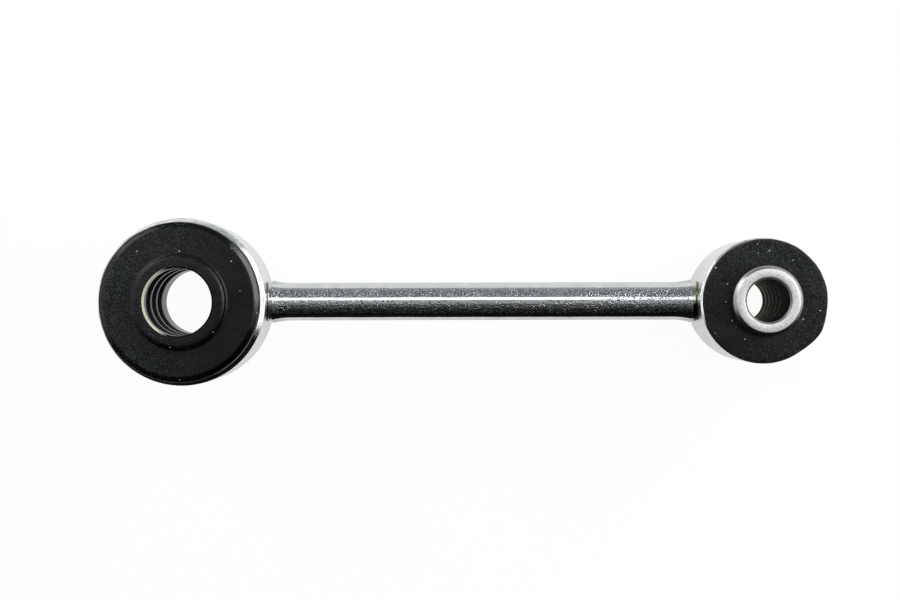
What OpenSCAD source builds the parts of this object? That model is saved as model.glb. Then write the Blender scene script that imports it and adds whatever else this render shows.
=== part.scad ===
// Stabilizer link: a round steel rod with an upset end welded to a ring eye at each side.
// The large eye holds a flanged rubber bush that grips the end of the anti-roll bar.
// The small eye holds a rubber bush with a plain steel sleeve for the mounting bolt.
// Millimetres. The origin is the centre of the large eye, +X points to the small eye,
// and +Z runs along both bores.

/* [Link] */
// Distance between the axes of the two eyes
centre_distance = 143; // [100:0.5:260]

/* [Rod] */
// Diameter of the plain stretch of the rod
rod_d = 9.5; // [7:0.1:14]
// Growth in radius from the plain rod to the rim of an upset end
upset_rise = 0.7; // [0.3:0.05:2]
// Radius of the hollow sweep from the plain rod to an upset end
upset_sweep_r = 16; // [8:0.5:30]

/* [Welds] */
// Thickness of the weld metal between the crown of a ring and the flat end of the rod
weld_gap = 0.8; // [0.4:0.05:2]
// Step in from the rim of an upset end to the neck of weld metal
weld_setback = 0.3; // [0.1:0.05:0.6]

/* [Large eye] */
// Outer diameter of the large ring
large_ring_od = 41.3; // [36:0.1:60]
// Wall of the large ring
large_ring_wall = 2.8; // [2.2:0.1:4.5]
// Width of the large ring along its bore
large_ring_w = 23.2; // [18:0.1:40]
// Bevel of the outer edges of the large ring
large_ring_bevel = 2; // [0.3:0.1:2]

/* [Large bush] */
// Bore that grips the end of the anti-roll bar
bar_bore_d = 16.5; // [12:0.1:20]
// Thickness of each flange over the end of the large ring
large_flange_t = 1.6; // [0.8:0.1:3]
// Step in from the outside of the large ring to the rim of the flange
large_flange_setback = 1; // [0.2:0.05:1.6]
// Radius of the rounded rim of the flange
large_flange_edge_r = 1.5; // [0.2:0.1:1.6]
// Height of the raised boss over the face of the flange
boss_h = 2.3; // [1:0.1:6]
// Wall of the boss round the bore
boss_wall = 3.15; // [2:0.05:5]
// Radius of the rounded top edge of the boss
boss_edge_r = 0.5; // [0.2:0.1:0.8]
// Radius of the fillet at the foot of the boss
boss_foot_r = 0.8; // [0.3:0.1:0.9]
// Width of the plain lip at the upper mouth of the bore
upper_lip_w = 3.1; // [2:0.1:6]
// Width of the plain lip at the lower mouth of the bore
lower_lip_w = 7.6; // [2:0.1:9]
// Number of grooves in the bore between the two lips
groove_count = 3; // [1:1:4]
// Depth of each groove
groove_depth = 1.3; // [0.6:0.05:1.6]
// Radius of the rounded corners at the bottom of a groove
groove_corner_r = 0.5; // [0.1:0.1:0.5]
// Width of the land that grips the bar between two grooves
land_w = 1.8; // [0.8:0.1:3]
// Bevel at each mouth of the bore
bore_bevel = 0.4; // [0.2:0.1:1]

/* [Small eye] */
// Outer diameter of the small ring
small_ring_od = 31; // [28:0.1:46]
// Wall of the small ring
small_ring_wall = 2.6; // [2:0.1:3.4]
// Width of the small ring along its bore
small_ring_w = 24; // [18:0.1:40]
// Bevel of the outer edges of the small ring
small_ring_bevel = 1.6; // [0.2:0.1:1.8]

/* [Small bush] */
// Thickness of each flange over the end of the small ring
small_flange_t = 1.2; // [0.8:0.1:3]
// Step in from the outside of the small ring to the rim of the flange
small_flange_setback = 0.3; // [0.1:0.05:1.2]
// Radius of the rounded rim of the flange
small_flange_edge_r = 0.5; // [0.2:0.1:0.8]

/* [Bolt sleeve] */
// Outer diameter of the sleeve
sleeve_od = 17; // [14:0.1:20]
// Bore of the sleeve
sleeve_bore_d = 10.5; // [8:0.1:11]
// Length of sleeve that stands proud of each face of the small bush
sleeve_proud = 3.8; // [1:0.1:10]
// Bevel of the outer edges of the sleeve
sleeve_edge_bevel = 0.8; // [0.2:0.1:0.9]
// Bevel at each mouth of the sleeve's bore
sleeve_mouth_bevel = 0.5; // [0.2:0.1:0.6]
// Radial clearance between the sleeve and the small bush
sleeve_clearance = 0.05; // [0.02:0.01:0.1]

/* [Hidden] */
$fn = 128;

// How far a cutting shape runs past what it cuts
overrun = 0.5;

rod_r = rod_d / 2;
upset_end_r = rod_r + upset_rise;
upset_len = sqrt(pow(upset_sweep_r, 2) - pow(upset_sweep_r - upset_rise, 2));
weld_r = upset_end_r - weld_setback;

large_ring_r = large_ring_od / 2;
large_ring_bore_r = large_ring_r - large_ring_wall;
large_flange_r = large_ring_r - large_flange_setback;
large_flange_face = large_ring_w / 2 + large_flange_t;
boss_face = large_flange_face + boss_h;
bar_bore_r = bar_bore_d / 2;
boss_r = bar_bore_r + boss_wall;
groove_r = bar_bore_r + groove_depth;
groove_zone_start = lower_lip_w - boss_face;
groove_zone_end = boss_face - upper_lip_w;
groove_pitch = (groove_zone_end - groove_zone_start + land_w) / groove_count;
groove_w = groove_pitch - land_w;

small_ring_r = small_ring_od / 2;
small_ring_bore_r = small_ring_r - small_ring_wall;
small_flange_r = small_ring_r - small_flange_setback;
small_flange_face = small_ring_w / 2 + small_flange_t;

sleeve_r = sleeve_od / 2;
sleeve_bore_r = sleeve_bore_d / 2;
sleeve_half = small_flange_face + sleeve_proud;

large_end_x = large_ring_r + weld_gap;
small_end_x = centre_distance - small_ring_r - weld_gap;

// Distance from an eye's axis to the points where its ring meets the sides of the weld
function saddle_x(ring_r) = sqrt(pow(ring_r, 2) - pow(weld_r, 2));

// Profiles lie in the half plane of a revolve: x is the radius and y runs along the axis.

// Both halves of a profile that is the same above and below the middle
module both_halves() {
    children();
    mirror([0, 1]) children();
}

// Cutter that rounds the outer top corner of a profile whose corner is at the origin
module round_cutter(r) {
    translate([-r, -r]) difference() {
        square(r + overrun);
        circle(r);
    }
}

// Cutter that bevels the outer top corner of a profile whose corner is at the origin
module bevel_cutter(size) {
    polygon([[-size - overrun, overrun], [overrun, overrun], [overrun, -size - overrun]]);
}

// Flange over the end of a ring, from the ring's end face out to the flange's face
module flange_profile(r, ring_half, thickness, edge_r) {
    translate([0, ring_half]) difference() {
        square([r, thickness]);
        translate([r, thickness]) round_cutter(edge_r);
    }
}

// Upset end of the rod, with its rim at y = 0, in a hollow sweep down to the plain rod
module upset_profile() {
    difference() {
        square([upset_end_r + overrun, upset_len]);
        translate([rod_r + upset_sweep_r, upset_len]) circle(upset_sweep_r);
    }
}

// The whole rod, with its two flat upset ends, measured from the large eye
module link_rod() {
    color("silver") rotate([0, 90, 0]) rotate_extrude() {
        translate([0, large_end_x]) square([rod_r, small_end_x - large_end_x]);
        translate([0, large_end_x]) upset_profile();
        translate([0, small_end_x]) mirror([0, 1]) upset_profile();
    }
}

// Neck of weld metal: flat against the rod's end, and saddled on the outside of the ring
module weld(ring_r, ring_w) {
    weld_start = saddle_x(ring_r) - overrun;
    color("darkkhaki") difference() {
        translate([weld_start, 0, 0]) rotate([0, 90, 0])
            cylinder(r = weld_r, h = ring_r + weld_gap - weld_start);
        cylinder(r = ring_r, h = ring_w, center = true);
    }
}

module large_eye_weld() {
    weld(large_ring_r, large_ring_w);
}

module small_eye_weld() {
    translate([centre_distance, 0, 0]) rotate([0, 0, 180]) weld(small_ring_r, small_ring_w);
}

// A ring eye with bevelled outer edges
module ring(ring_r, wall, ring_w, bevel) {
    color("gainsboro") rotate_extrude() difference() {
        translate([ring_r - wall, -ring_w / 2]) square([wall, ring_w]);
        both_halves() translate([ring_r, ring_w / 2]) bevel_cutter(bevel);
    }
}

module large_eye_ring() {
    ring(large_ring_r, large_ring_wall, large_ring_w, large_ring_bevel);
}

module small_eye_ring() {
    translate([centre_distance, 0, 0])
        ring(small_ring_r, small_ring_wall, small_ring_w, small_ring_bevel);
}

// Raised boss round the mouth of the bore, with a fillet at its foot
module boss_profile() {
    translate([0, large_flange_face]) {
        difference() {
            square([boss_r, boss_h]);
            translate([boss_r, boss_h]) round_cutter(boss_edge_r);
        }
        translate([boss_r, 0]) difference() {
            square(boss_foot_r);
            translate([boss_foot_r, boss_foot_r]) circle(boss_foot_r);
        }
    }
}

// One groove of the bore, from its lower edge at y = 0
module groove_profile() {
    difference() {
        square([groove_r, groove_w]);
        translate([groove_r, groove_w]) round_cutter(groove_corner_r);
        translate([groove_r, 0]) mirror([0, 1]) round_cutter(groove_corner_r);
    }
}

// The bore with its grooves and its bevelled mouths
module bar_bore_profile() {
    translate([0, -boss_face - overrun]) square([bar_bore_r, 2 * (boss_face + overrun)]);
    for (i = [0 : groove_count - 1])
        translate([0, groove_zone_start + i * groove_pitch]) groove_profile();
    both_halves() translate([bar_bore_r, boss_face])
        polygon([
            [-overrun, -bore_bevel - overrun],
            [bore_bevel + overrun, overrun],
            [-overrun, overrun]
        ]);
}

module large_bush() {
    color("dimgray") rotate_extrude() difference() {
        union() {
            translate([0, -large_ring_w / 2]) square([large_ring_bore_r, large_ring_w]);
            both_halves() {
                flange_profile(large_flange_r, large_ring_w / 2, large_flange_t, large_flange_edge_r);
                boss_profile();
            }
        }
        bar_bore_profile();
    }
}

module small_bush() {
    bush_bore_r = sleeve_r + sleeve_clearance;
    color("dimgray") translate([centre_distance, 0, 0]) rotate_extrude() difference() {
        union() {
            translate([0, -small_ring_w / 2]) square([small_ring_bore_r, small_ring_w]);
            both_halves()
                flange_profile(small_flange_r, small_ring_w / 2, small_flange_t, small_flange_edge_r);
        }
        translate([0, -small_flange_face - overrun])
            square([bush_bore_r, 2 * (small_flange_face + overrun)]);
    }
}

module bolt_sleeve() {
    color("lightgray") translate([centre_distance, 0, 0]) rotate_extrude() difference() {
        translate([sleeve_bore_r, -sleeve_half])
            square([sleeve_r - sleeve_bore_r, 2 * sleeve_half]);
        both_halves() {
            translate([sleeve_r, sleeve_half]) bevel_cutter(sleeve_edge_bevel);
            translate([sleeve_bore_r, sleeve_half]) mirror([1, 0]) bevel_cutter(sleeve_mouth_bevel);
        }
    }
}

link_rod();
large_eye_ring();
large_eye_weld();
large_bush();
small_eye_ring();
small_eye_weld();
small_bush();
bolt_sleeve();
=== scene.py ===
import math

import bmesh
import bpy
from mathutils import Matrix, Vector, noise


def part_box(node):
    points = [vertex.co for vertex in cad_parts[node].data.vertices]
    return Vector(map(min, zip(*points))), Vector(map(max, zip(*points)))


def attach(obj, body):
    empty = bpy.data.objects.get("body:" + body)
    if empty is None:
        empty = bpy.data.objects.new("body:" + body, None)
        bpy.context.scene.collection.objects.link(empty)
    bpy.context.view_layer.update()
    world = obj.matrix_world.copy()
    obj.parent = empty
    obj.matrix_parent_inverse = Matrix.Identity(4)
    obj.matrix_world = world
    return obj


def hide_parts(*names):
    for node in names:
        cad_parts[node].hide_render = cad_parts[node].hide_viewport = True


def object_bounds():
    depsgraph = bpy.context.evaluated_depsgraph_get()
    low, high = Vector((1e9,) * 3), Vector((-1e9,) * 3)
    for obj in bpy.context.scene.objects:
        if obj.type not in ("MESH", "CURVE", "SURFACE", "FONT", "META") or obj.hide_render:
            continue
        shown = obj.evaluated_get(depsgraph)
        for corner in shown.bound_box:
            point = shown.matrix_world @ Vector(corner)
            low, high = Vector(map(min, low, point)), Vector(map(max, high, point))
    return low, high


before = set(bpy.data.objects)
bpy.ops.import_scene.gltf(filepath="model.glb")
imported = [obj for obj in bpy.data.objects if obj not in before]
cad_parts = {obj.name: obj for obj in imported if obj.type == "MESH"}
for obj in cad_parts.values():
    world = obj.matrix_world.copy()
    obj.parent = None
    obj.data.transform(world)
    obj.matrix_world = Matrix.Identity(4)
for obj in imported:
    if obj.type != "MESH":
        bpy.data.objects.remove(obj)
cad_low, cad_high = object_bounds()


# Link rod. A drawn round bar whose two ends are upset hot, so that each flares to a crisp rim.
# The whole link is then barrel plated in bright zinc, which follows every pit of the bar's skin.
MM = 0.001
TURN_STEPS = 192
MERGE_GAP = 0.0005 * MM
RIM_TOLERANCE = 0.01 * MM
SHARP_ANGLE = math.radians(40)
CUT_TOLERANCE = 0.01


def turned(outline):
    """A closed body of revolution about Z, spun from (radius, height) pairs in metres."""
    bm = bmesh.new()
    points = [bm.verts.new((radius, 0, height)) for radius, height in outline]
    for start, end in zip(points, points[1:]):
        bm.edges.new((start, end))
    if min(radius for radius, height in outline) > 0:
        bm.edges.new((points[-1], points[0]))
    bmesh.ops.spin(bm, geom=bm.verts[:] + bm.edges[:], cent=(0, 0, 0), axis=(0, 0, 1),
                   dvec=(0, 0, 0), angle=math.tau, steps=TURN_STEPS, use_merge=True)
    bmesh.ops.remove_doubles(bm, verts=bm.verts[:], dist=MERGE_GAP)
    bmesh.ops.recalc_face_normals(bm, faces=bm.faces[:])
    return bm


def round_rims(bm, rims, size, segments):
    """Rounds the turned edges that lie at these (radius, height) pairs."""
    def on_rim(vert, radius, height):
        off_radius = math.hypot(vert.co.x, vert.co.y) - radius
        return abs(off_radius) < RIM_TOLERANCE and abs(vert.co.z - height) < RIM_TOLERANCE
    edges = [edge for edge in bm.edges
             if any(all(on_rim(vert, *rim) for vert in edge.verts) for rim in rims)]
    bmesh.ops.bevel(bm, geom=edges, offset=size, offset_type="OFFSET", segments=segments,
                    profile=0.5, affect="EDGES", material=-1)


def refine(bm, longest):
    """Cuts every edge that is longer than this, so that a surface can carry small unevenness.
    The tolerance gives edges of one length the same number of cuts."""
    cuts = {}
    for edge in bm.edges:
        count = math.ceil(edge.calc_length() / longest - CUT_TOLERANCE) - 1
        if count > 0:
            cuts.setdefault(count, []).append(edge)
    for count, edges in cuts.items():
        bmesh.ops.subdivide_edges(bm, edges=edges, cuts=count, use_grid_fill=True)


def roughen(bm, grain, height, touches=lambda co: True):
    """Moves the surface in and out by smooth noise of this grain and height, where touches() allows."""
    bm.normal_update()
    shifts = [(vert, vert.normal * height * noise.noise(vert.co / grain))
              for vert in bm.verts if touches(vert.co)]
    for vert, shift in shifts:
        vert.co += shift


def add_piece(name, bm, body, node, material):
    """Makes the finished mesh a piece that rides on its body and stands for its CAD node."""
    bmesh.ops.recalc_face_normals(bm, faces=bm.faces[:])
    for face in bm.faces:
        face.smooth = True
    for edge in bm.edges:
        edge.smooth = edge.calc_face_angle(0) < SHARP_ANGLE
    mesh = bpy.data.meshes.new(name)
    bm.to_mesh(mesh)
    bm.free()
    mesh.materials.append(material)
    piece = bpy.data.objects.new(name, mesh)
    bpy.context.scene.collection.objects.link(piece)
    flat_faces = piece.modifiers.new("flat_faces", "WEIGHTED_NORMAL")
    flat_faces.keep_sharp = True
    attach(piece, body)
    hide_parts(node)


def linear(hex_code):
    """An sRGB hex colour as the linear RGBA that shaders use."""
    channels = [int(hex_code[i:i + 2], 16) / 255 for i in (1, 3, 5)]
    return (*[c / 12.92 if c <= 0.04045 else ((c + 0.055) / 1.055) ** 2.4 for c in channels], 1)


def add_node(tree, kind, inputs=None, **settings):
    """Adds a node with its settings. inputs maps each socket to the value it takes, to the output it is
    linked to, or to a node, which stands for the first of its outputs in use."""
    node = tree.nodes.new(kind)
    for name, value in settings.items():
        setattr(node, name, value)
    for socket, value in (inputs or {}).items():
        if isinstance(value, bpy.types.Node):
            value = next(output for output in value.outputs if output.enabled)
        if isinstance(value, bpy.types.NodeSocket):
            tree.links.new(value, node.inputs[socket])
        else:
            node.inputs[socket].default_value = value
    return node


def new_material(name):
    """An empty material, its node tree, and the Object coordinates that its patterns follow."""
    material = bpy.data.materials.new(name)
    material.use_nodes = True
    tree = material.node_tree
    tree.nodes.clear()
    return material, tree, add_node(tree, "ShaderNodeTexCoord").outputs["Object"]


# Bright zinc plate over drawn bar: a mirror-like grey metal, faintly cool. Its orange-peel skin makes
# the edges of a reflection ragged, and its pits, a little coarser here than they are, make it sparkle.
# A burnished line along the top keeps the lamp's reflection whole, and both edges of the bar are painted
# darker, a painted shade.
ROD_ZINC_LIGHT = linear("#DCDFDE")
ROD_ZINC_DARK = linear("#B7BBBB")
ROD_PIT_AND_EDGE_SHADE = linear("#7C8083")
STAIN_SIZE = 3 * MM
STAIN_DETAIL = 5
ORANGE_PEEL = 1.0 * MM
ROD_PEEL_DETAIL = 1
PEEL_HEIGHT = 0.013 * MM
PIT_SIZE = 0.38 * MM
ROD_PIT_DETAIL = 2
PIT_EDGE = 0.5
PIT_FLOOR = 0.6
PIT_DEPTH = 0.024 * MM
PIT_SPREAD = 2.6 * MM
PIT_FADE = 0.8 * MM
BURNISH_Y = 0.75 * MM
BURNISH_HALF = 0.36 * MM
BURNISH_FADE = 0.16 * MM
BURNISH_END = 100 * MM
BURNISH_END_FADE = 12 * MM
# Painted shade along both edges of the bar: where it starts, where it is full, and how dark it is.
EDGE_SHADE_FROM = 4.4 * MM
EDGE_SHADE_FULL = 4.55 * MM
EDGE_SHADE_AMOUNT = 0.35
BRIGHT_ROUGHNESS = 0.06
DULL_ROUGHNESS = 0.12

rod_zinc, tree, place = new_material("zinc_plated_drawn_bar")
stain = add_node(tree, "ShaderNodeTexNoise", {"Vector": place, "Scale": 1 / STAIN_SIZE,
                                              "Detail": STAIN_DETAIL})
peel = add_node(tree, "ShaderNodeTexNoise", {"Vector": place, "Scale": 1 / ORANGE_PEEL,
                                             "Detail": ROD_PEEL_DETAIL})
grit = add_node(tree, "ShaderNodeTexNoise", {"Vector": place, "Scale": 1 / PIT_SIZE,
                                             "Detail": ROD_PIT_DETAIL})
pits = add_node(tree, "ShaderNodeMapRange", {"Value": grit, "From Min": PIT_EDGE, "From Max": PIT_FLOOR,
                                             "To Min": 1, "To Max": 0}, interpolation_type="SMOOTHSTEP")
parts = add_node(tree, "ShaderNodeSeparateXYZ", {"Vector": place})
sideways = add_node(tree, "ShaderNodeMath", {0: parts.outputs["Y"]}, operation="ABSOLUTE")
smooth_side = add_node(tree, "ShaderNodeMapRange", {"Value": sideways, "From Min": PIT_SPREAD,
                                                    "From Max": PIT_SPREAD + PIT_FADE})
off_line = add_node(tree, "ShaderNodeMath", {0: parts.outputs["Y"], 1: BURNISH_Y}, operation="SUBTRACT")
off_width = add_node(tree, "ShaderNodeMath", {0: off_line}, operation="ABSOLUTE")
on_line = add_node(tree, "ShaderNodeMapRange", {"Value": off_width, "From Min": BURNISH_HALF + BURNISH_FADE,
                                                "From Max": BURNISH_HALF})
on_length = add_node(tree, "ShaderNodeMapRange", {"Value": parts.outputs["X"],
                                                  "From Min": BURNISH_END + BURNISH_END_FADE,
                                                  "From Max": BURNISH_END})
burnished = add_node(tree, "ShaderNodeMath", {0: on_line, 1: on_length}, operation="MULTIPLY")
smooth = add_node(tree, "ShaderNodeMath", {0: burnished, 1: smooth_side}, operation="MAXIMUM")
skin = add_node(tree, "ShaderNodeMath", {0: pits, 1: smooth}, operation="MAXIMUM")
tone = add_node(tree, "ShaderNodeMix", {"Factor": stain, "A": ROD_ZINC_DARK, "B": ROD_ZINC_LIGHT},
                data_type="RGBA")
pitted = add_node(tree, "ShaderNodeMix", {"Factor": skin, "A": ROD_PIT_AND_EDGE_SHADE, "B": tone}, data_type="RGBA")
# Painted shade: both sides of the bar are painted darker towards their edges.
painted_light_share = add_node(tree, "ShaderNodeMapRange", {"Value": sideways, "From Min": EDGE_SHADE_FROM,
                                               "From Max": EDGE_SHADE_FULL, "To Max": EDGE_SHADE_AMOUNT})
shaded_colour = add_node(tree, "ShaderNodeMix", {"Factor": painted_light_share, "A": pitted, "B": ROD_PIT_AND_EDGE_SHADE}, data_type="RGBA")
gloss = add_node(tree, "ShaderNodeMapRange", {"Value": skin, "To Min": DULL_ROUGHNESS,
                                              "To Max": BRIGHT_ROUGHNESS})
peel_bump = add_node(tree, "ShaderNodeBump", {"Height": peel, "Distance": PEEL_HEIGHT})
pit_bump = add_node(tree, "ShaderNodeBump", {"Height": skin, "Distance": PIT_DEPTH, "Normal": peel_bump})
metal = add_node(tree, "ShaderNodeBsdfPrincipled", {"Base Color": shaded_colour, "Metallic": 1,
                                                    "Roughness": gloss, "Normal": pit_bump})
add_node(tree, "ShaderNodeOutputMaterial", {"Surface": metal})

ROD_RADIUS = 4.75 * MM
UPSET_SWEEP = 16 * MM
UPSET_STEPS = 12
RIM_ROUNDING = 0.15 * MM
ROUNDING_STEPS = 2
ROD_MESH = 1.2 * MM
ROD_WAVE = 4 * MM
WAVE_HEIGHT = 0.02 * MM
rod_low, rod_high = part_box("link_rod")
rod_length = rod_high.x - rod_low.x
upset_radius = rod_high.y
upset_length = math.sqrt(UPSET_SWEEP ** 2 - (UPSET_SWEEP - upset_radius + ROD_RADIUS) ** 2)

sweep = []
for step in range(UPSET_STEPS + 1):
    along = upset_length * step / UPSET_STEPS
    radius = ROD_RADIUS + UPSET_SWEEP - math.sqrt(UPSET_SWEEP ** 2 - (upset_length - along) ** 2)
    sweep.append((radius, along))
far_sweep = [(radius, rod_length - along) for radius, along in reversed(sweep)]
bm = turned([(0, 0), *sweep, *far_sweep, (0, rod_length)])
round_rims(bm, [(upset_radius, 0), (upset_radius, rod_length)], RIM_ROUNDING, ROUNDING_STEPS)
refine(bm, ROD_MESH)
along_x = Matrix.Rotation(math.pi / 2, 4, "Y")
bmesh.ops.transform(bm, matrix=Matrix.Translation((rod_low.x, 0, 0)) @ along_x, verts=bm.verts[:])
roughen(bm, ROD_WAVE, WAVE_HEIGHT)
add_piece("plated_rod", bm, "link", "link_rod", rod_zinc)


# Ring eyes. Each is a slice of thick steel tube, turned on its outside and bevelled at its edges.
# They are plated with the rod, and come out smoother and brighter than it because they were turned.
RING_ZINC = linear("#DEDFDD")
RING_ZINC_DULL = linear("#C2C4C1")
RING_BEVEL_BRIGHT = linear("#F4F5F4")
HEAT_TINT = linear("#8C8B52")
TINT_START = 4.9 * MM
TINT_END = 6.3 * MM
TURNING_PITCH = 0.9 * MM
TURNING_HEIGHT = 0.008 * MM
TURNING_REACH = 16 * MM
RING_DETAIL = 3
CUT_PITCH = 0.34 * MM
CUT_REACH = 4 * MM
CUT_DETAIL = 4
CUT_CONTRAST = 0.7
CUT_FLOOR = 0.42
CUT_EDGE = 0.56
CUT_DARKEST = 0.52
TURNED_ROUGHNESS = 0.26
CORNER_ROUNDING = 0.12 * MM
RING_MESH = 1.5 * MM
RING_WAVE = 5 * MM


def ring_material(name, centre, half, bevel, weld_place, tint):
    """Zinc over turned steel: turning lines on the side, coarser than the real ones so that they show,
    mirror-bright bevels streaked by the tool, and this much tint at the weld."""
    material, tree, place = new_material(name)
    centred = add_node(tree, "ShaderNodeMapping", {"Vector": place, "Location": -centre})
    parts = add_node(tree, "ShaderNodeSeparateXYZ", {"Vector": centred})
    height = add_node(tree, "ShaderNodeMath", {0: parts.outputs["Z"]}, operation="ABSOLUTE")
    edge = add_node(tree, "ShaderNodeMapRange", {"Value": height, "From Min": half - bevel - CORNER_ROUNDING,
                                                 "From Max": half - bevel})
    cloud = add_node(tree, "ShaderNodeTexNoise", {"Vector": place, "Scale": 1 / STAIN_SIZE,
                                                  "Detail": STAIN_DETAIL})
    zinc = add_node(tree, "ShaderNodeMix", {"Factor": cloud, "A": RING_ZINC_DULL, "B": RING_ZINC},
                    data_type="RGBA")
    polished = add_node(tree, "ShaderNodeMix", {"Factor": edge, "A": zinc, "B": RING_BEVEL_BRIGHT},
                        data_type="RGBA")
    away = add_node(tree, "ShaderNodeVectorMath", {0: place, 1: weld_place}, operation="DISTANCE")
    near = add_node(tree, "ShaderNodeMapRange", {"Value": away, "From Min": TINT_START,
                                                 "From Max": TINT_END, "To Min": tint, "To Max": 0})
    patchy = add_node(tree, "ShaderNodeMath", {0: near, 1: cloud}, operation="MULTIPLY")
    tinted = add_node(tree, "ShaderNodeMix", {"Factor": patchy, "A": polished, "B": HEAT_TINT},
                      data_type="RGBA")
    cut_along = (1 / CUT_REACH, 1 / CUT_REACH, 1 / CUT_PITCH)
    cut_place = add_node(tree, "ShaderNodeMapping", {"Vector": place, "Scale": cut_along})
    cuts = add_node(tree, "ShaderNodeTexNoise", {"Vector": cut_place, "Scale": 1, "Detail": CUT_DETAIL,
                                                 "Roughness": CUT_CONTRAST})
    cut_shade = add_node(tree, "ShaderNodeMapRange", {"Value": cuts, "From Min": CUT_FLOOR,
                                                      "From Max": CUT_EDGE, "To Min": CUT_DARKEST})
    cut_here = add_node(tree, "ShaderNodeMix", {"Factor": edge, "A": (1, 1, 1, 1), "B": cut_shade},
                        data_type="RGBA")
    streaked = add_node(tree, "ShaderNodeMix", {"Factor": 1, "A": tinted, "B": cut_here},
                        data_type="RGBA", blend_type="MULTIPLY")
    along = (1 / TURNING_REACH, 1 / TURNING_REACH, 1 / TURNING_PITCH)
    squeezed = add_node(tree, "ShaderNodeMapping", {"Vector": place, "Scale": along})
    lines = add_node(tree, "ShaderNodeTexNoise", {"Vector": squeezed, "Scale": 1, "Detail": RING_DETAIL})
    skin = add_node(tree, "ShaderNodeTexNoise", {"Vector": place, "Scale": 1 / ORANGE_PEEL,
                                                 "Detail": RING_DETAIL})
    grit = add_node(tree, "ShaderNodeTexNoise", {"Vector": place, "Scale": 1 / PIT_SIZE,
                                                 "Detail": RING_DETAIL})
    line_bump = add_node(tree, "ShaderNodeBump", {"Height": lines, "Distance": TURNING_HEIGHT})
    skin_bump = add_node(tree, "ShaderNodeBump", {"Height": skin, "Distance": PEEL_HEIGHT,
                                                  "Normal": line_bump})
    grit_bump = add_node(tree, "ShaderNodeBump", {"Height": grit, "Distance": PIT_DEPTH,
                                                  "Strength": edge, "Normal": skin_bump})
    gloss = add_node(tree, "ShaderNodeMapRange", {"Value": edge, "To Min": TURNED_ROUGHNESS,
                                                  "To Max": DULL_ROUGHNESS})
    metal = add_node(tree, "ShaderNodeBsdfPrincipled", {"Base Color": streaked, "Metallic": 1,
                                                        "Roughness": gloss, "Normal": grit_bump})
    add_node(tree, "ShaderNodeOutputMaterial", {"Surface": metal})
    return material


def ring_eye(name, node, wall, bevel, weld_side, tint):
    """One ring eye, to the size and place of its CAD node. Returns its centre, radius and half height."""
    low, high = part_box(node)
    radius = high.y
    half = high.z
    centre = Vector(((low.x + high.x) / 2, 0, 0))
    inner = radius - wall
    bm = turned([(inner, -half), (radius, -half), (radius, half), (inner, half)])
    round_rims(bm, [(radius, -half), (radius, half)], bevel, 1)
    corners = [(radius, bevel - half), (radius, half - bevel),
               (radius - bevel, -half), (radius - bevel, half)]
    round_rims(bm, corners, CORNER_ROUNDING, ROUNDING_STEPS)
    refine(bm, RING_MESH)
    roughen(bm, RING_WAVE, WAVE_HEIGHT)
    bmesh.ops.translate(bm, verts=bm.verts[:], vec=centre)
    weld_place = centre + Vector((weld_side * radius, 0, 0))
    plating = ring_material("zinc_plated_" + name, centre, half, bevel, weld_place, tint)
    add_piece(name, bm, "link", node, plating)
    return centre, radius, half


LARGE_WALL = 2.8 * MM
LARGE_BEVEL = 2 * MM
LARGE_TINT = 0.25
SMALL_WALL = 2.6 * MM
SMALL_BEVEL = 1.6 * MM
SMALL_TINT = 0.4
large_centre, large_radius, large_half = ring_eye("large_ring", "large_eye_ring", LARGE_WALL, LARGE_BEVEL,
                                                  1, LARGE_TINT)
small_centre, small_radius, small_half = ring_eye("small_ring", "small_eye_ring", SMALL_WALL, SMALL_BEVEL,
                                                  -1, SMALL_TINT)


# Welds. Each end of the rod is welded to its ring, which leaves a short neck of weld metal between them.
# It is plated like the rod, but the groove beside the ring stays bare and olive, and its lower side beside
# the ring is painted nearly black, a painted shade.
WELD_ZINC = linear("#C8CAC6")
WELD_OLIVE = linear("#8C9248")
WELD_BARE = linear("#767C40")
WELD_GREEN = linear("#5E675A")
WELD_PAINTED_SHADE = linear("#08090A")
WELD_GRAIN = 1.4 * MM
WELD_DETAIL = 4
WELD_RIPPLE = 0.05 * MM
RIPPLE_LENGTH = 1.5 * MM
GROOVE_WIDTH = 0.16 * MM
GROOVE_DEPTH = 0.22 * MM
GROOVE_STAIN = 1.6 * GROOVE_WIDTH
STAIN_WIDTH = 0.5 * MM
SHADE_TOP = 0.2 * MM
SHADE_FULL = -1.0 * MM
NOISE_LOW = 0.35
NOISE_HIGH = 0.65
WELD_RINGS = 12


def distance_from_axis(tree, centred):
    """How far a point is from the Z axis through the origin of these coordinates."""
    flat = add_node(tree, "ShaderNodeVectorMath", {0: centred, 1: (1, 1, 0)}, operation="MULTIPLY")
    return add_node(tree, "ShaderNodeVectorMath", {0: flat}, operation="LENGTH")


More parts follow.
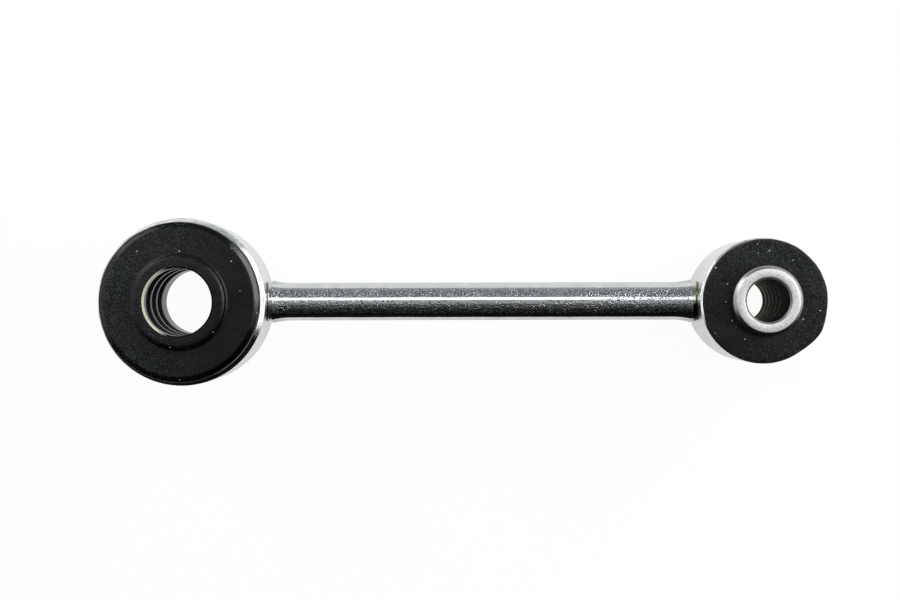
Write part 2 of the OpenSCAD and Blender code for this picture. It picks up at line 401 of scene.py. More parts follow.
def weld_metal(name, ring_centre, ring_radius, groove_colour, stain, shade_width):
    """Plated weld metal with this share of olive stain, bare in the groove beside the ring, and with a
    painted shade, nearly black, this wide beside the ring on its lower side. Its mottled gloss makes the
    neck look run and lumpy."""
    material, tree, place = new_material(name)
    centred = add_node(tree, "ShaderNodeMapping", {"Vector": place, "Location": -ring_centre})
    reach = distance_from_axis(tree, centred)
    mottle = add_node(tree, "ShaderNodeTexNoise", {"Vector": place, "Scale": 1 / WELD_GRAIN,
                                                   "Detail": WELD_DETAIL})
    band = add_node(tree, "ShaderNodeMapRange", {"Value": reach, "From Min": ring_radius + STAIN_WIDTH,
                                                 "From Max": ring_radius + STAIN_WIDTH / 2,
                                                 "To Max": stain})
    stained = add_node(tree, "ShaderNodeMix", {"Factor": band, "A": WELD_ZINC, "B": WELD_OLIVE},
                       data_type="RGBA")
    deep = add_node(tree, "ShaderNodeMapRange", {"Value": reach, "From Min": ring_radius + GROOVE_STAIN,
                                                 "From Max": ring_radius + GROOVE_WIDTH})
    bare = add_node(tree, "ShaderNodeMix", {"Factor": deep, "A": stained, "B": groove_colour},
                    data_type="RGBA")
    parts = add_node(tree, "ShaderNodeSeparateXYZ", {"Vector": place})
    # Painted shade: beside the ring, the lower side is painted nearly black.
    lower = add_node(tree, "ShaderNodeMapRange", {"Value": parts.outputs["Y"], "From Min": SHADE_TOP,
                                                  "From Max": SHADE_FULL})
    beside = add_node(tree, "ShaderNodeMapRange", {"Value": reach, "From Min": ring_radius + shade_width,
                                                   "From Max": ring_radius + shade_width / 2})
    shaded_share = add_node(tree, "ShaderNodeMath", {0: lower, 1: beside}, operation="MULTIPLY")
    with_painted_shade = add_node(tree, "ShaderNodeMix", {"Factor": shaded_share, "A": bare, "B": WELD_PAINTED_SHADE}, data_type="RGBA")
    gloss = add_node(tree, "ShaderNodeMapRange", {"Value": mottle, "From Min": NOISE_LOW,
                                                  "From Max": NOISE_HIGH, "To Min": DULL_ROUGHNESS,
                                                  "To Max": TURNED_ROUGHNESS})
    bump = add_node(tree, "ShaderNodeBump", {"Height": mottle, "Distance": WELD_RIPPLE})
    metal = add_node(tree, "ShaderNodeBsdfPrincipled", {"Base Color": with_painted_shade, "Metallic": 1,
                                                        "Roughness": gloss, "Normal": bump})
    add_node(tree, "ShaderNodeOutputMaterial", {"Surface": metal})
    return material


def weld_neck(name, node, ring_centre, ring_radius, side, groove_colour, stain, shade_width):
    """A neck, saddled on its ring at one end and flat against the rod at the other."""
    low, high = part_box(node)
    radius = high.y
    reach = abs((high.x if side > 0 else low.x) - ring_centre.x)
    gap = reach - ring_radius
    outline = [(0, 0)]
    for ring in range(WELD_RINGS + 1):
        share = ring / WELD_RINGS
        waist = GROOVE_DEPTH * math.exp(-(share * gap / GROOVE_WIDTH) ** 2)
        outline.append((radius - waist, share))
    outline.append((0, 1))
    bm = turned(outline)
    for vert in bm.verts:
        share = vert.co.z
        saddle = math.sqrt(ring_radius ** 2 - vert.co.y ** 2)
        vert.co = Vector((side * (saddle + share * (reach - saddle)), vert.co.y, vert.co.x)) + ring_centre
    roughen(bm, RIPPLE_LENGTH, WELD_RIPPLE, lambda co: math.hypot(co.y, co.z) > ROD_RADIUS)
    plated = weld_metal("plated_" + name, ring_centre, ring_radius, groove_colour, stain, shade_width)
    add_piece(name, bm, "link", node, plated)


LARGE_STAIN = 0
LARGE_SHADE_WIDTH = 0.3 * MM
SMALL_STAIN = 0.8
SMALL_SHADE_WIDTH = 1.6 * MM
weld_neck("large_weld_neck", "large_eye_weld", large_centre, large_radius, 1, WELD_GREEN, LARGE_STAIN,
          LARGE_SHADE_WIDTH)
weld_neck("small_weld_neck", "small_eye_weld", small_centre, small_radius, -1, WELD_BARE, SMALL_STAIN,
          SMALL_SHADE_WIDTH)


# Large bush. Black natural rubber, moulded in one piece and pressed into the ring: a flange laps each end
# of the ring, a boss stands on each flange, and two lands between the grooves of the bore grip the bar.
RUBBER_BLACK = linear("#020304")
RUBBER_BLOOM_AND_LIGHT = linear("#646C6F")
RUBBER_PAINTED_HIGHLIGHT = linear("#C9C3AE")
DUST = linear("#F6F8F8")
RUBBER_IOR = 1.52
RUBBER_SPECULAR = 0.18
RUBBER_SHINE = 0.25
RUBBER_MATT = 0.4
MOULD_GRAIN = 0.36 * MM
GRAIN_HEIGHT = 0.06 * MM
GRAIN_DETAIL = 4
GRAIN_CONTRAST = 0.6
SMOOTH_ROUGHNESS = 0.2
SMOOTH_RELIEF = 0.2
BLOOM_SIZE = 9 * MM
BLOOM_DETAIL = 3
BLOOM_START = 0.51
BLOOM_FULL = 0.63
DUST_SPACING = 2.1 * MM
DUST_SIZE = 0.19 * MM
DUST_SIZE_RANGE = 3
FAINTEST_DUST = 0.45
HIGHLIGHT_START = -2.5 * MM
HIGHLIGHT_FULL = -5 * MM


def moulded_rubber(name, centre, painted_light_side, bloom_and_light_level, dust_share, smooth_radius, mouth, rim_radius):
    """Dull black rubber with dust, a moulded grain, coarser than the real one so that it shows, and a grey
    bloom that thickens towards the given side: that thickening is painted light, lighter on that side and
    darker on the other. Inside smooth_radius it is smooth, and beyond the height mouth it is painted pale on
    the side away from the rod, a painted highlight; outside rim_radius it is glossy."""
    material, tree, place = new_material(name)
    centred = add_node(tree, "ShaderNodeMapping", {"Vector": place, "Location": -centre})
    bloom = add_node(tree, "ShaderNodeTexNoise", {"Vector": place, "Scale": 1 / BLOOM_SIZE,
                                                  "Detail": BLOOM_DETAIL})
    grain = add_node(tree, "ShaderNodeTexNoise", {"Vector": place, "Scale": 1 / MOULD_GRAIN,
                                                  "Detail": GRAIN_DETAIL, "Roughness": GRAIN_CONTRAST})
    spots = add_node(tree, "ShaderNodeMapRange", {"Value": grain, "From Min": BLOOM_START,
                                                  "From Max": BLOOM_FULL})
    both = add_node(tree, "ShaderNodeMath", {0: spots, 1: bloom}, operation="MULTIPLY")
    # Painted light: the bloom grows towards one side, painting the rubber lighter there and darker opposite.
    toward_lit_side = add_node(tree, "ShaderNodeVectorMath", {0: centred, 1: painted_light_side}, operation="DOT_PRODUCT")
    bloom_and_light_amount = add_node(tree, "ShaderNodeMath", {0: toward_lit_side, 1: bloom_and_light_level}, operation="ADD", use_clamp=True)
    bloom_and_painted_light = add_node(tree, "ShaderNodeMath", {0: both, 1: bloom_and_light_amount}, operation="MULTIPLY")
    black = add_node(tree, "ShaderNodeMix", {"Factor": bloom_and_painted_light, "A": RUBBER_BLACK, "B": RUBBER_BLOOM_AND_LIGHT},
                     data_type="RGBA")
    motes = add_node(tree, "ShaderNodeTexVoronoi", {"Vector": place, "Scale": 1 / DUST_SPACING})
    lot = add_node(tree, "ShaderNodeSeparateColor", {"Color": motes.outputs["Color"]})
    size = add_node(tree, "ShaderNodeMapRange", {"Value": lot.outputs["Green"],
                                                 "To Min": DUST_SIZE / DUST_SPACING / DUST_SIZE_RANGE,
                                                 "To Max": DUST_SIZE / DUST_SPACING})
    small = add_node(tree, "ShaderNodeMath", {0: motes.outputs["Distance"], 1: size},
                     operation="LESS_THAN")
    some = add_node(tree, "ShaderNodeMath", {0: lot.outputs["Red"], 1: dust_share}, operation="LESS_THAN")
    mote = add_node(tree, "ShaderNodeMath", {0: small, 1: some}, operation="MULTIPLY")
    pale = add_node(tree, "ShaderNodeMapRange", {"Value": lot.outputs["Blue"], "To Min": FAINTEST_DUST})
    faint = add_node(tree, "ShaderNodeMath", {0: mote, 1: pale}, operation="MULTIPLY")
    dusty = add_node(tree, "ShaderNodeMix", {"Factor": faint, "A": black, "B": DUST}, data_type="RGBA")
    spread = distance_from_axis(tree, centred)
    inside = add_node(tree, "ShaderNodeMath", {0: spread, 1: smooth_radius}, operation="LESS_THAN")
    parts = add_node(tree, "ShaderNodeSeparateXYZ", {"Vector": place})
    height = add_node(tree, "ShaderNodeMath", {0: parts.outputs["Z"]}, operation="ABSOLUTE")
    outermost = add_node(tree, "ShaderNodeMath", {0: height, 1: mouth}, operation="GREATER_THAN")
    edge = add_node(tree, "ShaderNodeMath", {0: inside, 1: outermost}, operation="MULTIPLY")
    # Painted highlight: the mouth of the bore is painted pale on the side away from the rod.
    painted_light_share = add_node(tree, "ShaderNodeMapRange", {"Value": parts.outputs["X"], "From Min": HIGHLIGHT_START,
                                                   "From Max": HIGHLIGHT_FULL})
    highlight_share = add_node(tree, "ShaderNodeMath", {0: edge, 1: painted_light_share}, operation="MULTIPLY")
    with_painted_highlight = add_node(tree, "ShaderNodeMix", {"Factor": highlight_share, "A": dusty, "B": RUBBER_PAINTED_HIGHLIGHT},
                    data_type="RGBA")
    sheen = add_node(tree, "ShaderNodeMapRange", {"Value": grain, "From Min": NOISE_LOW,
                                                  "From Max": NOISE_HIGH, "To Min": RUBBER_SHINE,
                                                  "To Max": RUBBER_MATT})
    rim = add_node(tree, "ShaderNodeMath", {0: spread, 1: rim_radius}, operation="GREATER_THAN")
    polished = add_node(tree, "ShaderNodeMath", {0: inside, 1: rim}, operation="MAXIMUM")
    smooth = add_node(tree, "ShaderNodeMix", {"Factor": polished, "A": sheen, "B": SMOOTH_ROUGHNESS},
                      data_type="FLOAT")
    relief = add_node(tree, "ShaderNodeMapRange", {"Value": polished, "To Min": 1, "To Max": SMOOTH_RELIEF})
    bump = add_node(tree, "ShaderNodeBump", {"Height": grain, "Distance": GRAIN_HEIGHT,
                                             "Strength": relief})
    skin = add_node(tree, "ShaderNodeBsdfPrincipled", {"Base Color": with_painted_highlight, "IOR": RUBBER_IOR,
                                                       "Specular IOR Level": RUBBER_SPECULAR,
                                                       "Roughness": smooth, "Normal": bump})
    add_node(tree, "ShaderNodeOutputMaterial", {"Surface": skin})
    return material


BAR_BORE = 8.25 * MM
BOSS_HEIGHT = 2.3 * MM
BOSS_WALL = 3.15 * MM
BOSS_CONE_WIDTH = 0.6 * MM
BOSS_CONE_DROP = 0.42 * MM
BOSS_EDGE = 0.14 * MM
BOSS_FOOT = 0.8 * MM
RIM_CONE_WIDTH = 1.3 * MM
RIM_CONE_DROP = 0.92 * MM
RIM_INNER_EDGE = 0.25 * MM
RIM_OUTER_EDGE = 0.22 * MM
BORE_BEVEL = 0.4 * MM
UPPER_LIP = 3.1 * MM
LOWER_LIP = 7.6 * MM
GROOVE_COUNT = 3
BORE_GROOVE = 1.3 * MM
GROOVE_CORNER = 0.5 * MM
CORNER_STEPS = 4
LAND_WIDTH = 1.8 * MM
LAND_EDGE = 0.2 * MM
EDGE_STEPS = 3
BUSH_MESH = 1.2 * MM
FLANGE_DRIFT = Vector((-0.24, -0.04, 0)) * MM
LARGE_WAVE = 7 * MM
LARGE_WAVE_HEIGHT = 0.08 * MM
LARGE_LUMP = 1.8 * MM
LARGE_LUMP_HEIGHT = 0.03 * MM
OFF_THE_RING = 0.2 * MM

flange_radius, boss_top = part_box("large_bush")[1].yz
flange_top = boss_top - BOSS_HEIGHT
boss_radius = BAR_BORE + BOSS_WALL
core_radius = large_radius - LARGE_WALL
groove_radius = BAR_BORE + BORE_GROOVE
groove_zone = LOWER_LIP - boss_top
groove_pitch = (boss_top - UPPER_LIP - groove_zone + LAND_WIDTH) / GROOVE_COUNT

cone_top = flange_radius - RIM_CONE_WIDTH
cone_foot = flange_top - RIM_CONE_DROP
boss_cone_top = boss_radius - BOSS_CONE_WIDTH
boss_cone_foot = boss_top - BOSS_CONE_DROP
outside = [(boss_cone_top, boss_top), (boss_radius, boss_cone_foot), (boss_radius, flange_top),
           (cone_top, flange_top), (flange_radius, cone_foot), (flange_radius, large_half),
           (core_radius, large_half)]
outside += [(radius, -height) for radius, height in reversed(outside)]
bore = [(BAR_BORE + BORE_BEVEL, -boss_top), (BAR_BORE, BORE_BEVEL - boss_top)]
groove_edges = []
groove_corners = []
for groove in range(GROOVE_COUNT):
    low_side = groove_zone + groove * groove_pitch
    high_side = low_side + groove_pitch - LAND_WIDTH
    groove_edges += [(BAR_BORE, low_side), (BAR_BORE, high_side)]
    groove_corners += [(groove_radius, low_side), (groove_radius, high_side)]
    bore += [(BAR_BORE, low_side), (groove_radius, low_side), (groove_radius, high_side),
             (BAR_BORE, high_side)]
bore += [(BAR_BORE, boss_top - BORE_BEVEL), (BAR_BORE + BORE_BEVEL, boss_top)]
bm = turned(outside + bore)


def both_sides(radius, height):
    """The same rim on the upper and on the lower side."""
    return [(radius, height), (radius, -height)]


for radius, height, rounding, segments in (
        (boss_cone_top, boss_top, BOSS_EDGE, 2), (boss_radius, boss_cone_foot, BOSS_EDGE, 2),
        (boss_radius, flange_top, BOSS_FOOT, 6), (cone_top, flange_top, RIM_INNER_EDGE, 3),
        (flange_radius, cone_foot, RIM_OUTER_EDGE, 5)):
    round_rims(bm, both_sides(radius, height), rounding, segments)
round_rims(bm, groove_corners, GROOVE_CORNER, CORNER_STEPS)
round_rims(bm, groove_edges, LAND_EDGE, EDGE_STEPS)
refine(bm, BUSH_MESH)


def outside_large_ring(co):
    """Whether a point is on the flanges or bosses, clear of the ring that the bush is pressed into."""
    return abs(co.z) > large_half + OFF_THE_RING


# Pressed in by hand, the flanges sit a little off the middle of the ring.
for vert in bm.verts:
    outward = (math.hypot(vert.co.x, vert.co.y) - boss_radius) / (flange_radius - boss_radius)
    if outside_large_ring(vert.co) and outward > 0:
        vert.co += FLANGE_DRIFT * outward
roughen(bm, LARGE_WAVE, LARGE_WAVE_HEIGHT, outside_large_ring)
roughen(bm, LARGE_LUMP, LARGE_LUMP_HEIGHT, outside_large_ring)

# The bore up to its bevel is smooth, and so is the sloped rim of the flanges. The margins allow for the
# unevenness of the surface.
# Painted light: the large bush is painted lighter towards the left and darker towards the right.
LARGE_LIT_SIDE = Vector((-0.45, 0.1, 0))
LARGE_BLOOM_AND_LIGHT = 0.3
LARGE_DUST = 0.2
SMOOTH_MARGIN = 0.05 * MM
HIGHLIGHT_MARGIN = 0.15 * MM
GLOSSY_MARGIN = 0.1 * MM
smooth_bore = BAR_BORE + BORE_BEVEL + SMOOTH_MARGIN
# Painted highlight: above this height the mouth of the bore is painted pale.
highlight_mouth = boss_top - BORE_BEVEL - HIGHLIGHT_MARGIN
glossy_rim = cone_top - GLOSSY_MARGIN
bore_rubber = moulded_rubber("black_rubber_with_a_smooth_bore", large_centre,
                             LARGE_LIT_SIDE / flange_radius, LARGE_BLOOM_AND_LIGHT, LARGE_DUST, smooth_bore,
                             highlight_mouth, glossy_rim)
add_piece("grooved_bush", bm, "link", "large_bush", bore_rubber)


# Small bush. The same rubber, moulded round the sleeve and flanged over both ends of the small ring.
# The rim of each flange is trimmed by hand after moulding, so it isn't quite round.
SMALL_FLANGE_EDGE = 0.2 * MM
SMALL_MESH = 1.0 * MM
SLEEVE_GAP = 0.05 * MM
SMALL_WAVE = 6 * MM
SMALL_WAVE_HEIGHT = 0.1 * MM
SMALL_LUMP = 1.4 * MM
SMALL_LUMP_HEIGHT = 0.05 * MM
OFF_THE_SLEEVE = 0.5 * MM
# Painted light: the small bush is painted lighter towards the right and the top.
SMALL_LIT_SIDE = Vector((0.2, 0.14, 0))
SMALL_BLOOM_AND_LIGHT = 0.4
SMALL_DUST = 0.8
TRIM_WIDTH = math.radians(11)
TRIM_START = 0.01 * MM
TRIM_CUTS = ((-30, 0.36), (-60, -0.25), (-92, 0.05), (-122, 0.3), (-140, 0.36), (-156, 0.42), (25, -0.05),
             (48, -0.14), (70, -0.12), (92, -0.14), (116, -0.28), (146, -0.1), (180, 0.08))

small_flange, small_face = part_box("small_bush")[1].yz
sleeve_radius, sleeve_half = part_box("bolt_sleeve")[1].yz
small_core = small_radius - SMALL_WALL
small_bore = sleeve_radius + SLEEVE_GAP

outside = [(small_bore, small_face), (small_flange, small_face), (small_flange, small_half),
           (small_core, small_half)]
outside += [(radius, -height) for radius, height in reversed(outside)]
bm = turned(outside)
round_rims(bm, both_sides(small_flange, small_face), SMALL_FLANGE_EDGE, EDGE_STEPS)
refine(bm, SMALL_MESH)


def trim_rim(bm):
    """Takes the rim of the flanges in and out by the millimetres that TRIM_CUTS gives for each angle in
    degrees. The lower flange is only taken in, and the bore is left alone."""
    for vert in bm.verts:
        radius = math.hypot(vert.co.x, vert.co.y)
        if abs(vert.co.z) < small_half + TRIM_START or radius < small_core:
            continue
        around = math.atan2(vert.co.y, vert.co.x)
        change = 0
        for degrees, depth in TRIM_CUTS:
            apart = math.remainder(around - math.radians(degrees), math.tau)
            change += depth * MM * math.exp(-(apart / TRIM_WIDTH) ** 2)
        if vert.co.z < 0:
            change = min(change, 0)
        change *= (radius - small_core) / (small_flange - small_core)
        vert.co.x *= 1 + change / radius
        vert.co.y *= 1 + change / radius


def outside_small_ring(co):
    """Whether a point is on the flanges, clear of the ring and of the sleeve."""
    return (abs(co.z) > small_half + OFF_THE_RING
            and math.hypot(co.x, co.y) > small_bore + OFF_THE_SLEEVE)


trim_rim(bm)
roughen(bm, SMALL_WAVE, SMALL_WAVE_HEIGHT, outside_small_ring)
roughen(bm, SMALL_LUMP, SMALL_LUMP_HEIGHT, outside_small_ring)
bmesh.ops.translate(bm, verts=bm.verts[:], vec=small_centre)

# No part of this bush is smooth, glossy or painted with the pale highlight, so it gets radii that no point
# of it meets.
flange_rubber = moulded_rubber("black_rubber", small_centre, SMALL_LIT_SIDE / small_flange, SMALL_BLOOM_AND_LIGHT,
                               SMALL_DUST, 0, small_face, 2 * small_flange)
add_piece("flanged_bush", bm, "link", "small_bush", flange_rubber)


# Bolt sleeve. Thick steel tube, cut off and faced on a lathe, with bevelled edges inside and out.
# Its outside is plated and satin, but the bore is bare and ringed by the drawing tool. The bore is painted
# nearly black, a painted shade, and the tool's rings carry a painted highlight.
SLEEVE_BORE = 5.25 * MM
SLEEVE_EDGE = 0.8 * MM
SLEEVE_MOUTH = 0.5 * MM
SOFT_EDGE = 0.06 * MM
SLEEVE_MESH = 2 * MM
RING_MARKS = 5
RING_MARK_PITCH = 4.15 * MM
RING_MARK_DEPTH = 0.2 * MM
RING_MARK_WIDTH = 0.7 * MM
FIRST_MARK_HEIGHT = 4.6 * MM
first_mark = -sleeve_half + FIRST_MARK_HEIGHT

# Plated steel, faced on a lathe: a pale satin grey, evenly bright, with its bevel painted darker, a painted
# shade. Its turning lines and grain are drawn coarser than they are, so that they show. The bore is painted
# nearly black, a painted shade, and the rings of the tool carry a painted highlight, deep down. The mouth is
# darker and less metallic.
SLEEVE_PALE = linear("#DFDFDD")
SLEEVE_GREY = linear("#AEAEAD")
SLEEVE_BEVEL_SHADED = linear("#979896")
SLEEVE_BARE = linear("#7B7972")
SLEEVE_BORE_SHADE = linear("#030302")
SLEEVE_RING_HIGHLIGHT = linear("#C4BA9C")
FACING_PITCH = 0.55 * MM
FACING_HEIGHT = 0.003 * MM
SATIN_GRAIN = 0.3 * MM
SATIN_DETAIL = 4
SATIN_LOW = 0.3
SATIN_HIGH = 0.7
SATIN_HEIGHT = 0.04 * MM
SATIN_ROUGHNESS = 0.42
BEVEL_ROUGHNESS = 0.3
BORE_ROUGHNESS = 0.6
MOUTH_METAL = 0.5
RING_MARK_METAL = 0.9
RING_MARK_CREST = 0.45
RINGS_START = 7 * MM
RINGS_FULL = 3 * MM
BORE_MARGIN = 0.02 * MM
BORE_SPECULAR = 0.02

sleeve_steel, tree, place = new_material("faced_and_plated_steel_tube")
centred = add_node(tree, "ShaderNodeMapping", {"Vector": place, "Location": -small_centre})
spread = distance_from_axis(tree, centred)
turn = add_node(tree, "ShaderNodeMath", {0: spread, 1: math.tau / FACING_PITCH}, operation="MULTIPLY")
facing = add_node(tree, "ShaderNodeMath", {0: turn}, operation="SINE")
satin = add_node(tree, "ShaderNodeTexNoise", {"Vector": place, "Scale": 1 / SATIN_GRAIN,
                                              "Detail": SATIN_DETAIL})
grained = add_node(tree, "ShaderNodeMapRange", {"Value": satin, "From Min": SATIN_LOW,
                                                "From Max": SATIN_HIGH})
faced = add_node(tree, "ShaderNodeMix", {"Factor": grained, "A": SLEEVE_GREY, "B": SLEEVE_PALE},
                 data_type="RGBA")
bevels = add_node(tree, "ShaderNodeMath", {0: spread, 1: sleeve_radius - SLEEVE_EDGE},
                  operation="GREATER_THAN")
# Painted shade: the outer bevels are painted a darker grey than the face.
tone = add_node(tree, "ShaderNodeMix", {"Factor": bevels, "A": faced, "B": SLEEVE_BEVEL_SHADED},
                data_type="RGBA")
mouth = add_node(tree, "ShaderNodeMath", {0: spread, 1: SLEEVE_BORE + SLEEVE_MOUTH},
                 operation="LESS_THAN")
bare = add_node(tree, "ShaderNodeMix", {"Factor": mouth, "A": tone, "B": SLEEVE_BARE}, data_type="RGBA")
parts = add_node(tree, "ShaderNodeSeparateXYZ", {"Vector": centred})
height = add_node(tree, "ShaderNodeMath", {0: parts.outputs["Z"]}, operation="ABSOLUTE")
marks = add_node(tree, "ShaderNodeMath", {0: parts.outputs["Z"], 1: first_mark}, operation="SUBTRACT")
phase = add_node(tree, "ShaderNodeMath", {0: marks, 1: math.tau / RING_MARK_PITCH}, operation="MULTIPLY")
wave = add_node(tree, "ShaderNodeMath", {0: phase}, operation="COSINE")
crest = add_node(tree, "ShaderNodeMapRange", {"Value": wave, "From Min": RING_MARK_CREST})
deep = add_node(tree, "ShaderNodeMapRange", {"Value": parts.outputs["Z"], "From Min": RINGS_START,
                                             "From Max": RINGS_FULL})
ring_highlight_share = add_node(tree, "ShaderNodeMath", {0: crest, 1: deep}, operation="MULTIPLY")
# Painted shade and highlight: the bore wall is painted nearly black, and the crests of the tool's rings
# pale.
bore_shade_and_highlight = add_node(tree, "ShaderNodeMix", {"Factor": ring_highlight_share, "A": SLEEVE_BORE_SHADE, "B": SLEEVE_RING_HIGHLIGHT},
                  data_type="RGBA")
bore_wall = add_node(tree, "ShaderNodeMath", {0: spread, 1: SLEEVE_BORE + RING_MARK_DEPTH + BORE_MARGIN},
                     operation="LESS_THAN")
below = add_node(tree, "ShaderNodeMath", {0: height, 1: sleeve_half - SLEEVE_MOUTH},
                 operation="LESS_THAN")
inner = add_node(tree, "ShaderNodeMath", {0: bore_wall, 1: below}, operation="MULTIPLY")
steel = add_node(tree, "ShaderNodeMix", {"Factor": inner, "A": bare, "B": bore_shade_and_highlight}, data_type="RGBA")
mouth_metallic = add_node(tree, "ShaderNodeMix", {"Factor": mouth, "A": 1, "B": MOUTH_METAL}, data_type="FLOAT")
shiny = add_node(tree, "ShaderNodeMath", {0: ring_highlight_share, 1: RING_MARK_METAL}, operation="MULTIPLY")
bright = add_node(tree, "ShaderNodeMix", {"Factor": inner, "A": mouth_metallic, "B": shiny}, data_type="FLOAT")
satin_or_gloss = add_node(tree, "ShaderNodeMapRange", {"Value": bevels, "To Min": SATIN_ROUGHNESS,
                                                       "To Max": BEVEL_ROUGHNESS})
rough = add_node(tree, "ShaderNodeMix", {"Factor": inner, "A": satin_or_gloss, "B": BORE_ROUGHNESS},
                 data_type="FLOAT")
facing_bump = add_node(tree, "ShaderNodeBump", {"Height": facing, "Distance": FACING_HEIGHT})
satin_bump = add_node(tree, "ShaderNodeBump", {"Height": satin, "Distance": SATIN_HEIGHT,
                                               "Normal": facing_bump})
metal = add_node(tree, "ShaderNodeBsdfPrincipled", {"Base Color": steel, "Metallic": bright,
                                                    "Specular IOR Level": BORE_SPECULAR,
                                                    "Roughness": rough, "Normal": satin_bump})
add_node(tree, "ShaderNodeOutputMaterial", {"Surface": metal})

outside = [(SLEEVE_BORE + SLEEVE_MOUTH, sleeve_half), (sleeve_radius - SLEEVE_EDGE, sleeve_half),
           (sleeve_radius, sleeve_half - SLEEVE_EDGE)]
outside += [(radius, -height) for radius, height in reversed(outside)]
bore = [(SLEEVE_BORE, SLEEVE_MOUTH - sleeve_half)]
for mark in range(RING_MARKS):
    middle = first_mark + mark * RING_MARK_PITCH
    bore += [(SLEEVE_BORE, middle - RING_MARK_WIDTH / 2), (SLEEVE_BORE + RING_MARK_DEPTH, middle),
             (SLEEVE_BORE, middle + RING_MARK_WIDTH / 2)]
bore.append((SLEEVE_BORE, sleeve_half - SLEEVE_MOUTH))
bm = turned(outside + bore)
round_rims(bm, outside, SOFT_EDGE, ROUNDING_STEPS)
refine(bm, SLEEVE_MESH)
bmesh.ops.translate(bm, verts=bm.verts[:], vec=small_centre)
add_piece("faced_sleeve", bm, "sleeve", "bolt_sleeve", sleeve_steel)


# Floor. A plain pale sheet on which the link lies flat. The camera and glossy surfaces see it nearly
# white, and it keeps the link's shadow. Towards the viewer the lit part of the sheet ends early.
FLOOR_WIDTH = 6.0
FLOOR_GAP = 0.02 * MM
FLOOR_WHITE = linear("#FFFFFF")
SHADOW_SHARE = 0.04
GLOSSY_SHARE = 0.72
LIT_EDGE = -46 * MM
LIT_FADE = 4 * MM
UNLIT_LEVEL = 0.01

floor_paint, tree, place = new_material("pale_paper")
ray_kind = add_node(tree, "ShaderNodeLightPath").outputs
parts = add_node(tree, "ShaderNodeSeparateXYZ", {"Vector": place})
lit = add_node(tree, "ShaderNodeMapRange", {"Value": parts.outputs["Y"], "From Min": LIT_EDGE - LIT_FADE,
                                            "From Max": LIT_EDGE, "To Min": UNLIT_LEVEL})
glow = add_node(tree, "ShaderNodeMath", {0: ray_kind["Is Camera Ray"], 1: lit}, operation="MAXIMUM")
mirrored = add_node(tree, "ShaderNodeMath", {0: ray_kind["Is Glossy Ray"],
                                             1: ray_kind["Is Transmission Ray"]}, operation="MAXIMUM")
part_share = add_node(tree, "ShaderNodeMath", {0: mirrored, 1: GLOSSY_SHARE}, operation="MULTIPLY")
share = add_node(tree, "ShaderNodeMix", {"Factor": ray_kind["Is Camera Ray"], "A": part_share,
                                         "B": 1 - SHADOW_SHARE}, data_type="FLOAT")
unlit = add_node(tree, "ShaderNodeMath", {0: ray_kind["Is Glossy Ray"], 1: glow}, operation="MULTIPLY")
shaded_colour = add_node(tree, "ShaderNodeMix", {"Factor": ray_kind["Is Glossy Ray"], "A": FLOOR_WHITE,
                                          "B": unlit}, data_type="RGBA")
paper = add_node(tree, "ShaderNodeBsdfDiffuse", {"Color": shaded_colour})
white = add_node(tree, "ShaderNodeEmission", {"Color": (1, 1, 1, 1), "Strength": glow})
both = add_node(tree, "ShaderNodeMixShader", {"Fac": share, 1: paper, 2: white})
add_node(tree, "ShaderNodeOutputMaterial", {"Surface": both})

bm = bmesh.new()
bmesh.ops.create_grid(bm, x_segments=1, y_segments=1, size=FLOOR_WIDTH / 2)
bmesh.ops.translate(bm, verts=bm.verts[:], vec=(cad_high.x / 2, 0, cad_low.z - FLOOR_GAP))
mesh = bpy.data.meshes.new("floor")
bm.to_mesh(mesh)
bm.free()
mesh.materials.append(floor_paint)
floor = bpy.data.objects.new("floor", mesh)
bpy.context.scene.collection.objects.link(floor)


# Studio light. A long strip overhead, a little up the picture from the camera, draws the bright line along
# the rod, and a low soft box at each side lights the rims of the rubber.
STRIP_HEIGHT = 0.95
STRIP_LEAN = math.radians(15.8)
STRIP_PLACE = (0, STRIP_HEIGHT * math.tan(STRIP_LEAN), STRIP_HEIGHT)
middle = Vector((cad_high.x / 2, 0, 0))

# Each lamp's place from the middle of the link, length and width in metres, and radiance.
for name, place, length, width, radiance in (("strip_light", STRIP_PLACE, 1.7, 0.27, 1.9),
                                             ("left_box", (-0.46, 0.4, 0.26), 0.3, 0.2, 8.0),
                                             ("right_box", (0.57, 0.26, 0.31), 0.75, 0.14, 15.0)):
    lamp = bpy.data.lights.new(name, "AREA")
    lamp.shape = "RECTANGLE"
    lamp.size = length
    lamp.size_y = width
    lamp.energy = radiance * math.pi * length * width
    light = bpy.data.objects.new(name, lamp)
    light.location = middle + Vector(place)
    light.rotation_euler = (middle - light.location).to_track_quat("-Z", "Y").to_euler()
    bpy.context.scene.collection.objects.link(light)


# Room. It is grey up the picture and dark towards the viewer, with pale walls to the left and right, and
# that is what the plating mirrors. Each stop gives an angle in degrees from straight up, which grows up
# the picture, and the grey there. Matt surfaces are lit by an even grey, and the camera sees white.
ROOM_STOPS = ((-180, 0.003), (-90, 0.004), (-66, 0.008), (-52, 0.016), (-39, 0.034), (-20, 0.06),
              (-15, 0.26), (-5, 0.34), (4, 0.42), (9, 0.6), (26, 0.3), (31, 0.19), (46, 0.16), (60, 0.18),
              (72, 0.3), (84, 0.5), (180, 0.5))
ROOM_TINT = (0.93, 1.0, 1.03)
ROOM_LIGHT = 0.25
LEFT_WALL = 1.2
RIGHT_WALL = 1.6
WALL_START = 0.3
WALL_FULL = 0.5
WALL_SLANT = 0.34
WALL_REACH = 0.6
WALL_END = 0.85
world = bpy.data.worlds.new("studio_room")
bpy.context.scene.world = world
world.use_nodes = True
tree = world.node_tree
tree.nodes.clear()
direction = add_node(tree, "ShaderNodeTexCoord").outputs["Generated"]
ray = add_node(tree, "ShaderNodeSeparateXYZ", {"Vector": direction}).outputs
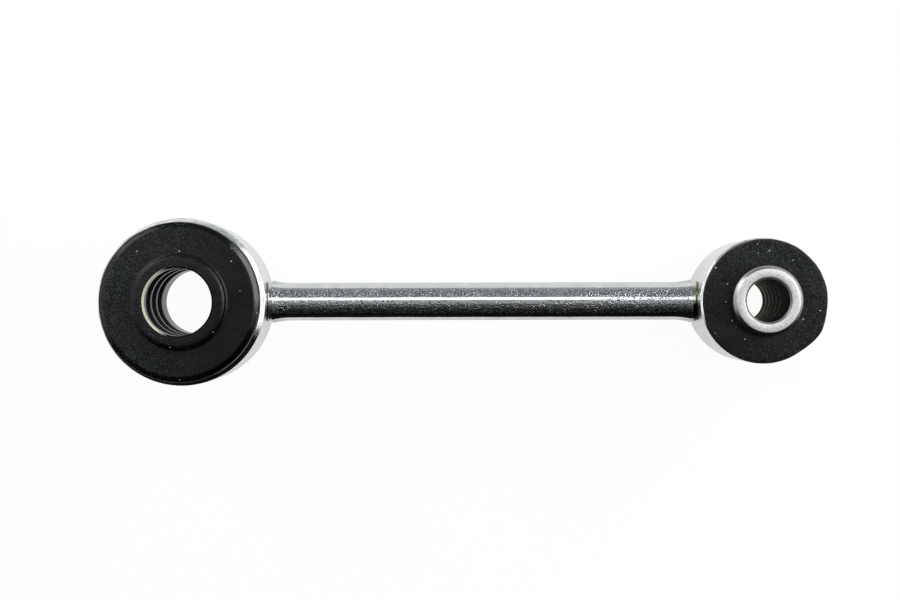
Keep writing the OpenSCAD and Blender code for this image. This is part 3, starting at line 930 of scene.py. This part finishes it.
lean = add_node(tree, "ShaderNodeMath", {0: ray["Y"], 1: ray["Z"]}, operation="ARCTAN2")
turn = add_node(tree, "ShaderNodeMapRange", {"Value": lean, "From Min": -math.pi, "From Max": math.pi})
room = add_node(tree, "ShaderNodeValToRGB", {"Fac": turn})
stops = room.color_ramp.elements
stops.remove(stops[1])
for index, (degrees, grey) in enumerate(ROOM_STOPS):
    position = degrees / 360 + 0.5
    stop = stops[0] if index == 0 else stops.new(position)
    stop.position = position
    stop.color = (*[grey * tint for tint in ROOM_TINT], 1)
across = add_node(tree, "ShaderNodeMath", {0: ray["X"]}, operation="ABSOLUTE")
side = add_node(tree, "ShaderNodeMapRange", {"Value": across, "From Min": WALL_START,
                                             "From Max": WALL_FULL})
slant = add_node(tree, "ShaderNodeMath", {0: ray["Y"], 1: across}, operation="DIVIDE")
off_middle = add_node(tree, "ShaderNodeMath", {0: slant, 1: WALL_SLANT}, operation="SUBTRACT")
sideways = add_node(tree, "ShaderNodeMath", {0: off_middle}, operation="ABSOLUTE")
facing_us = add_node(tree, "ShaderNodeMapRange", {"Value": sideways, "From Min": WALL_END,
                                                  "From Max": WALL_REACH})
wall = add_node(tree, "ShaderNodeMath", {0: side, 1: facing_us}, operation="MULTIPLY")
right = add_node(tree, "ShaderNodeMath", {0: ray["X"], 1: 0}, operation="GREATER_THAN")
pale = add_node(tree, "ShaderNodeMix", {"Factor": right, "A": (LEFT_WALL, LEFT_WALL, LEFT_WALL, 1),
                                        "B": (RIGHT_WALL, RIGHT_WALL, RIGHT_WALL, 1)}, data_type="RGBA")
mirrored = add_node(tree, "ShaderNodeMix", {"Factor": wall, "A": room, "B": pale}, data_type="RGBA")
ray_kind = add_node(tree, "ShaderNodeLightPath").outputs
soft = add_node(tree, "ShaderNodeMix", {"Factor": ray_kind["Is Glossy Ray"],
                                        "A": (ROOM_LIGHT, ROOM_LIGHT, ROOM_LIGHT, 1), "B": mirrored},
                data_type="RGBA")
shown = add_node(tree, "ShaderNodeMix", {"Factor": ray_kind["Is Camera Ray"], "A": soft,
                                         "B": (1, 1, 1, 1)}, data_type="RGBA")
background = add_node(tree, "ShaderNodeBackground", {"Color": shown, "Strength": 1})
add_node(tree, "ShaderNodeOutputWorld", {"Surface": background})


# Camera. It looks straight down, so close that the far ends of both eyes show past the near ones.
CAMERA_X = 66.05 * MM
CAMERA_Y = 0.33 * MM
CAMERA_HEIGHT = 0.384
CAMERA_ROLL = math.radians(-0.13)
FILM_WIDTH_MM = 36
LENS_MM = 60.87
NEAREST_SEEN = 0.01
camera_data = bpy.data.cameras.new("camera")
camera_data.sensor_width = FILM_WIDTH_MM
camera_data.lens = LENS_MM
camera_data.clip_start = NEAREST_SEEN
camera = bpy.data.objects.new("camera", camera_data)
camera.location = (CAMERA_X, CAMERA_Y, CAMERA_HEIGHT)
camera.rotation_euler = (0, 0, CAMERA_ROLL)
bpy.context.scene.collection.objects.link(camera)
bpy.context.scene.camera = camera
bpy.context.scene.view_settings.view_transform = "Standard"
